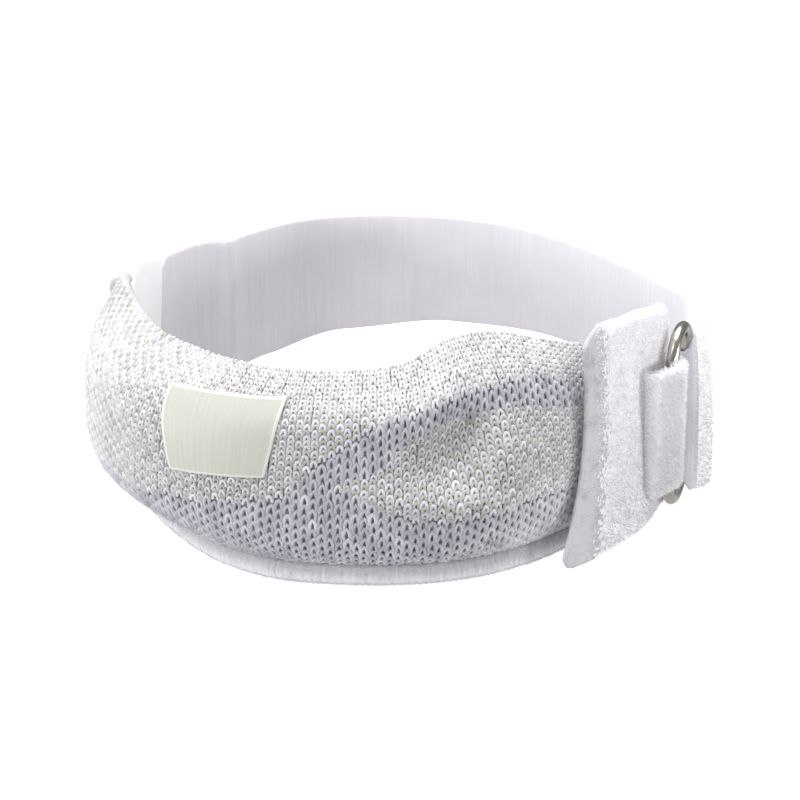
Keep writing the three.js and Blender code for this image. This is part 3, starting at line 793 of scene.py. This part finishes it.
def tabPoint(along, up, side):
    spec = tabSpec
    slant = spec["slant"] * (1 - (1 - np.clip(up, 0, 1)) ** spec["slantPower"])
    part = along + (slant * (1 - along) - spec["endSlant"] * up * along) / tabLine["length"]
    lean = throughPlaces(tabSections, "lean", along) * (0.5 - up)
    at, rise, soft = along * tabLine["length"], up * spec["height"], spec["soft"]
    fromStrip, fromBorder = tabZones(at, rise)
    full = smooth(fromStrip, -soft, soft) * smooth(fromBorder, -soft, soft)
    pressed = between(at, tabSeam["from"], tabSeam["to"], tabSeam["soft"])
    pressed = pressed * between(rise, tabSeam["low"], tabSeam["high"], tabSeam["softUp"])
    swell = spec["pressed"] + (1 - spec["pressed"]) * full - tabSeam["depth"] * pressed
    swell = np.where(side > 0, swell, 1.0)
    return onLine(tabLine, part, side * swell + lean, heightIn(tabSections, along, up))


def tabZone(along, rise, side):  # the strip, with a ragged edge, or the pile
    fromStrip = tabZones(along / mm, rise / mm)[0]
    fleck = fleckAt(along / mm, rise / mm, 91.7, 57.3)
    return int(side > -0.9 and fromStrip < tabSpec["ragged"] * (fleck - 0.5))


def rightTab():
    length = tabLine["length"]
    piece = wallPiece("rightTab", tabSpec, length, tabPoint, brushedWhite, tabZone, [pressedSeam])
    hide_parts("right_tab")

    def keep(along, rise, side):
        fromStrip, fromBorder = tabZones(along, rise)
        fleck = fleckAt(along, rise)
        pastStrip = fromStrip > tabSpec["fade"] * (fleck - tabSpec["fadeShift"])
        return (side > -0.6) & pastStrip & (fromBorder > tabSpec["borderFade"] * fleck)

    nap = wallPile("tabNap", tabSpec, length, tabPoint, keep, tabPile, pileFibre)


rightTab()
print("right tab made")


# oval ring

ringSpec = {"x": 58.0, "y": -15.5, "z": 21.2, "width": 15.0, "height": 40.8, "wire": 2.6, "heading": 70.0,
            "endSteps": 28, "barSteps": 10, "sides": 20}
ringHeading = math.radians(ringSpec["heading"])
ringAlong = np.array([math.cos(ringHeading), math.sin(ringHeading)])
ringOut = np.array([ringAlong[1], -ringAlong[0]])
ringMiddle = np.array([ringSpec["x"], ringSpec["y"]])
ringTurn = (ringSpec["width"] - ringSpec["wire"]) / 2
ringBar = ringSpec["height"] - ringSpec["wire"] - 2 * ringTurn


def ringMaterial():
    material = newMaterial("satinNickel", (0.55, 0.53, 0.49), 0.26, Metallic=1.0)
    cloud = noiseOn(material, "object", 500, 3.0)
    shadeBy(material, cloud, (0.46, 0.44, 0.40), (0.64, 0.615, 0.57))
    addBump(material, [noiseOn(material, "object", (3000, 3000, 600))], 0.08, 0.0002)
    return material


def ring():
    spec = ringSpec
    bm = bmesh.new()
    bmesh.ops.create_circle(bm, cap_ends=False, segments=spec["sides"], radius=spec["wire"] / 2)
    up = Vector((0, 0, 1))
    place = Vector((ringTurn, 0, -ringBar / 2))
    bmesh.ops.translate(bm, verts=bm.verts, vec=place)
    for side in (1, -1):  # a straight bar, then half a turn over the end
        edges = [edge for edge in bm.edges if edge.is_boundary] if side < 0 else bm.edges[:]
        last = [edge for edge in edges if all((v.co - place).length < spec["wire"] for v in edge.verts)]
        for step in range(spec["barSteps"]):
            made = bmesh.ops.extrude_edge_only(bm, edges=last)["geom"]
            last = [item for item in made if isinstance(item, bmesh.types.BMEdge)]
            verts = [item for item in made if isinstance(item, bmesh.types.BMVert)]
            bmesh.ops.translate(bm, verts=verts, vec=up * side * ringBar / spec["barSteps"])
        bmesh.ops.spin(bm, geom=last, cent=up * side * ringBar / 2, axis=(0, -1, 0), angle=math.pi,
                       steps=spec["endSteps"], use_merge=False)
        place = Vector((-side * ringTurn, 0, side * ringBar / 2))
    bmesh.ops.remove_doubles(bm, verts=bm.verts, dist=0.01)
    for vert in bm.verts:
        plan = ringMiddle - loopMiddle + ringAlong * vert.co.x + ringOut * vert.co.y
        vert.co = Vector((*plan, vert.co.z + spec["z"])) * mm
    piece = finishPiece(bm, "ring", ringMaterial())
    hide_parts("ring")


ring()
print("ring made")


def roundBar(side, distance, start, stop, steps, slack=0.0):  # plan points round one of the ring's bars
    angle = np.radians(np.linspace(start, stop, steps + 1))[:, None]
    middle = ringMiddle + ringAlong * side * (ringTurn - slack)
    return middle + distance * (np.cos(angle) * ringAlong + np.sin(angle) * ringOut)


# keeper tongue round the ring's left bar

keeperSpec = {"thickness": 1.0, "height": 27.4, "steps": 60, "faceRows": 50, "edgeRows": 5, "low": 8.0,
              "slack": -0.15, "seam": 0.56, "lift": 1.25, "start": -14, "stop": 100, "turnSteps": 8,
              "pressed": 3.3, "soft": 0.6, "thin": 0.3, "sink": 3.5, "sinkMore": 0.3,
              "cut": 1.5, "cutFrom": -0.5, "cutTo": 2.0, "fluffyPast": 1.6}
keeperPile = {"count": 26000, "length": 1.15, "width": 0.1, "lean": 0.9, "rise": 0.15, "seed": 41}
keeperLoop = {"foot": 0.22, "top": 0.5, "bottom": -0.4, "head": 0.4, "tuck": 0.0, "power": 1.6, "bow": 0.6,
              "radius": 0.09, "count": 26, "low": 0.04, "high": 0.96, "reach": 0.6}


def keeperLine():
    spec = keeperSpec
    distance = ringSpec["wire"] / 2 + clearance + spec["slack"] + spec["thickness"] / 2
    turn = roundBar(-1, distance, spec["start"], spec["stop"], spec["turnSteps"])
    proud = (tabSpec["thickness"] + spec["thickness"]) / 2 + clearance + spec["lift"]
    share = shareAt(tabLine, np.array([spec["seam"]]))
    return planLine(np.vstack([turn, offCurve(tabLine["knots"], share, np.array([proud]))]))


def ringKeeper():
    spec = keeperSpec
    line = keeperLine()
    length, rise = line["length"], spec["height"]
    pressedFrom = length - spec["pressed"]

    def pointAt(along, up, side):  # the sewn end is thin and lies pressed into the tab's pile
        past = along * length - pressedFrom
        pressed = smooth(past, -spec["soft"], spec["soft"])
        deeper = spec["sinkMore"] * smooth(past, 0.0, spec["pressed"])
        level = side * (1 - (1 - spec["thin"]) * pressed) + spec["sink"] * pressed + deeper
        trim = spec["cut"] * smooth(past, spec["cutFrom"], spec["cutTo"])
        return onLine(line, along, level, spec["low"] + trim + (rise - 2 * trim) * up)

    piece = wallPiece("ringKeeper", keeperSpec, length, pointAt, brushedWhite)
    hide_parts("ring_keeper")
    fluffy = lambda along, height, side: (along < pressedFrom + spec["fluffyPast"]) & (side < 0.5)
    nap = wallPile("keeperNap", keeperSpec, length, pointAt, fluffy, keeperPile, keeperFibre)
    face = lambda along, up: pointAt(1 - along, up, np.full_like(along, -spec["thickness"] / 2))
    alongs = 1 - pressedFrom / length + np.array([-1, 0, 1]) * keeperLoop["reach"] / length
    ups = np.tile(np.linspace(keeperLoop["low"], keeperLoop["high"], keeperLoop["count"]), (3, 1))
    row = np.zeros_like(ups, bool)
    row[1] = True
    radius = keeperLoop["radius"]
    loops = stitchPiece("keeperLoops", face, alongs, ups, row, keeperLoop, radius, keeperFibre, "brushed")


ringKeeper()
print("keeper made")


# strap: folded end, turn round the ring's right bar, run round the back

strapSpec = {"thickness": 1.8, "height": 32.0, "steps": 340, "faceRows": 40, "edgeRows": 5, "leanPower": 3,
             "turnGap": -0.1, "turnSlack": 0.4, "turnSteps": 7, "turnEnd": 58.0,
             "turnFrom": 52.0, "turnTo": 57.0, "turnSoft": 4.0, "turnThin": 0.35,
             "brushedTo": 48.0, "fade": 5.0, "fadeShift": 0.4,
             "pleatFrom": 47.0, "pleatTo": 54.0, "pleatSoft": 2.0, "pleatPitch": 1.5, "pleatDepth": 0.16,
             "creaseReach": 1.1, "creaseDepth": 0.4}
foldPile = {"count": 150000, "length": 0.8, "width": 0.1, "lean": 0.7, "rise": -0.2, "seed": 51}
strapEnd = [(48.2, 33.0), (55.8, 22.6), (60.1, 13.2), (63.5, 4.4), (65.8, -4.8)]
strapBend = (-38.4, 37.6)  # where the strap bends sharply
strapRun = [(60.0, -3.8), (60.2, 2.5), (57.2, 9.8), (51.6, 19.5), (43.6, 30.5), (33.8, 41.0), (23.0, 48.5),
            (11.5, 52.8), (0.0, 54.5), (-13.0, 54.0), (-23.0, 51.0), (-30.0, 46.5), (-35.5, 41.2), strapBend,
            (-41.8, 36.8), (-46.2, 34.6), (-51.4, 30.8), (-56.2, 25.6), (-58.6, 20.0)]
strapTurn = roundBar(1, ringSpec["wire"] / 2 + strapSpec["turnGap"] + strapSpec["thickness"] / 2, 90, 270,
                     strapSpec["turnSteps"], strapSpec["turnSlack"])
strapLine = planLine(np.vstack([strapEnd, strapTurn, strapRun]))
bendKnot = np.argmin(np.linalg.norm(strapLine["knots"] - strapBend, axis=1))
strapCrease = np.interp(bendKnot / (len(strapLine["knots"]) - 1), strapLine["fine"], strapLine["run"])
strapSections = table(
    "at low high lean",
    (0, 8.0, 30.0, 0.0), (3, 5.0, 33.0, 0.0), (22, 1.0, 36.0, 0.0), (32, 0.0, 38.6, 1.2),
    (40, 0.0, 40.0, 3.4), (45, 0.8, 38.4, 3.3), (50, 1.4, 36.6, 1.4), (51.6, 3.4, 34.6, 0.3),
    (53.2, 5.4, 33.6, 0.0), (56.6, 5.4, 33.6, 0.0), (60, 3.4, 36.5, 1.0), (67, 1.5, 40.5, 1.6),
    (78, 6.0, 40.5, 0.0), (95, 13.5, 40.0, 0.0), (110, 15.5, 40.0, 0.0), (140, 14.0, 40.0, 0.0),
    (165, 11.5, 40.0, 0.0), (185, 8.5, 40.0, 0.0), (203, 7.5, 40.4, 0.0), (211.5, 7.8, 39.6, 0.0),
    (218.5, 8.5, 30.5, 0.0), (226, 9.0, 27.0, 0.0),
)


def strapPoint(along, up, side):
    spec = strapSpec
    at = along * strapLine["length"]
    lean = throughPlaces(strapSections, "lean", at) * np.clip(up, 0, 1) ** spec["leanPower"]
    gathered = between(at, spec["pleatFrom"], spec["pleatTo"], spec["pleatSoft"])
    pleat = spec["pleatDepth"] * np.cos(2 * np.pi * at / spec["pleatPitch"]) * gathered
    crease = spec["creaseDepth"] * np.exp(-((at - strapCrease) / spec["creaseReach"]) ** 2)
    turning = between(at, spec["turnFrom"], spec["turnTo"], spec["turnSoft"])
    half = side * (1 - spec["turnThin"] * turning)
    return onLine(strapLine, along, half + lean + pleat - crease, heightIn(strapSections, at, up))


def backStrap():
    length = strapLine["length"]

    def zoneOf(along, rise, side):  # woven, brushed, or the plain turn round the ring in a darker weave with painted shade
        if along / mm < strapSpec["brushedTo"]:
            return 1
        return 2 * int(along / mm < strapSpec["turnEnd"])

    others = [brushedWhite, shadedTurnWeave]
    piece = wallPiece("backStrap", strapSpec, length, strapPoint, strapWeave, zoneOf, others)
    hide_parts("back_strap")

    def keep(along, rise, side):  # the pile thins out where the strap turns round the ring
        edge = strapSpec["brushedTo"] + strapSpec["fade"] * (fleckAt(along, rise) - strapSpec["fadeShift"])
        return (along < edge) & (side < 0.6)

    nap = wallPile("foldNap", strapSpec, length, strapPoint, keep, foldPile, foldFibre)


backStrap()
print("strap made", round(strapLine["length"], 1), "mm long")


# white tab inside the left end

leftTabSpec = {"thickness": 0.6, "height": 32.0, "steps": 40, "faceRows": 30, "edgeRows": 4, "slant": 4.5,
               "lean": 1.4, "leanPower": 3}
leftTabLine = planLine([(-55.0, 4.5), (-56.3, 13.0), (-55.4, 22.0), (-51.6, 27.6)])
leftTabSections = table("at low high", (0.0, 8.0, 32.0), (0.3, 7.5, 37.0), (0.52, 7.0, 39.8),
                        (0.75, 7.0, 40.6), (1.0, 8.0, 40.2))


def leftTabPoint(along, up, side):
    part = along + leftTabSpec["slant"] / leftTabLine["length"] * (up - 1) * along
    lean = leftTabSpec["lean"] * np.clip(up, 0, 1) ** leftTabSpec["leanPower"]  # its top lies on the knit
    return onLine(leftTabLine, part, side - lean, heightIn(leftTabSections, along, up))


def leftTab():
    material = newMaterial("smoothCloth", (0.88, 0.88, 0.9), 0.6)
    cloud = noiseOn(material, "object", 120, 3.0)
    shadeBy(material, cloud, (0.85, 0.85, 0.86), (0.89, 0.89, 0.90))
    addBump(material, [noiseOn(material, "object", 1500)], 0.15, 0.0002)
    piece = wallPiece("leftTab", leftTabSpec, leftTabLine["length"], leftTabPoint, material)
    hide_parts("left_tab")


def hookTape():  # rows of tiny hooks
    material = newMaterial("hookTape", (0.78, 0.77, 0.8), 0.5)
    place = placeOn(material, "object", 1100)
    hooks = addNode(material, "TexVoronoi", {"Vector": place, "Scale": 1.0}).outputs["Distance"]
    shadeBy(material, hooks, (0.82, 0.81, 0.84), (0.62, 0.61, 0.64), 0.2, 0.8)
    addBump(material, [hooks], 0.8, 0.0006)
    return material


leftTab()
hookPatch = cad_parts["hook_patch"]
hookPatch.data.materials.clear()
hookPatch.data.materials.append(hookTape())
print("left tab made")


# floor, light and camera

def stage():
    bm = bmesh.new()
    bmesh.ops.create_grid(bm, x_segments=8, y_segments=8, size=4.0)
    mesh = bpy.data.meshes.new("floor")
    bm.to_mesh(mesh)
    bm.free()
    floor = newObject("floor", mesh)
    glow = {"Emission_Strength": 0.6, "Emission_Color": (1.0, 1.0, 1.0, 1.0)}
    material = newMaterial("paleFloor", (0.93, 0.93, 0.93), 0.9, **glow)
    mesh.materials.append(material)
    floor.visible_diffuse = False  # the cloth keeps its own shade close to the floor
    floor.visible_glossy = False
    floor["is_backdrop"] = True


lightSpec = {  # place, size, power
    "left": ((-0.8, -0.5, 0.9), 0.9, 7.9),
    "lowLeft": ((-1.2, -0.5, 0.12), 0.4, 10.4),
    "right": ((1.25, -0.4, 0.1), 0.22, 6.9),
    "lowFront": ((0.8, -1.0, 0.12), 0.3, 2.0),
    "top": ((0.1, 0.25, 1.3), 1.0, 22.5),
}
lightAim = (0, 0, 0.02)
skySpec = {"low": 1.05, "level": 0.32, "high": 0.6,  # brightness under, round and over the object
           "gloss": 0.6}  # and its share in shiny reflections


def sky():
    world = bpy.data.worlds.new("studio")
    bpy.context.scene.world = world
    world.use_nodes = True
    place = addNode(world, "TexCoord").outputs["Generated"]
    rise = addNode(world, "SeparateXYZ", {0: place}).outputs["Z"]
    climb = addNode(world, "MapRange", {"Value": rise, "From Min": -1.0}).outputs["Result"]
    ramp = addNode(world, "ValToRGB", {"Fac": climb})
    ramp.color_ramp.elements.new(0.5)
    places = [(0.3, "low"), (0.5, "level"), (0.9, "high")]
    for stop, (position, key) in zip(ramp.color_ramp.elements, places):
        stop.position = position
        stop.color = (skySpec[key],) * 3 + (1.0,)
    shiny = addNode(world, "LightPath").outputs["Is Glossy Ray"]
    limits = {"Value": shiny, "To Min": 1.0, "To Max": skySpec["gloss"]}
    strength = addNode(world, "MapRange", limits).outputs["Result"]
    background = world.node_tree.nodes["Background"]
    world.node_tree.links.new(ramp.outputs["Color"], background.inputs["Color"])
    world.node_tree.links.new(strength, background.inputs["Strength"])


def aimed(name, data, place, look):  # a lamp or the camera at its place, looking one way
    holder = newObject(name, data)
    holder.location = place
    holder.rotation_euler = look.to_track_quat("-Z", "Y").to_euler()
    return holder


def lights():
    sky()
    for name, (place, size, power) in lightSpec.items():
        lamp = bpy.data.lights.new(name, "AREA")
        lamp.shape = "DISK"
        lamp.size = size
        lamp.energy = power
        aimed(name, lamp, place, Vector(lightAim) - Vector(place))


cameraSpec = {"target": (-0.6, -9.3, 22.0), "distance": 600.0, "elevation": 24.0, "lens": 128.25,
              "sensor": 36.0, "clipStart": 0.01, "clipEnd": 50.0}


def camera():
    rise = math.radians(cameraSpec["elevation"])
    look = Vector((0, math.cos(rise), -math.sin(rise)))
    lens = bpy.data.cameras.new("camera")
    lens.lens = cameraSpec["lens"]
    lens.sensor_width = cameraSpec["sensor"]
    lens.clip_start = cameraSpec["clipStart"]
    lens.clip_end = cameraSpec["clipEnd"]
    place = (Vector(cameraSpec["target"]) - look * cameraSpec["distance"]) * mm
    bpy.context.scene.camera = aimed("camera", lens, place, look)


stage()
lights()
camera()
bpy.context.scene.view_settings.view_transform = "Standard"
print("stage made")

sizes = {"cad": [list(corner) for corner in cadBox], "visual": [list(corner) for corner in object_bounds()]}
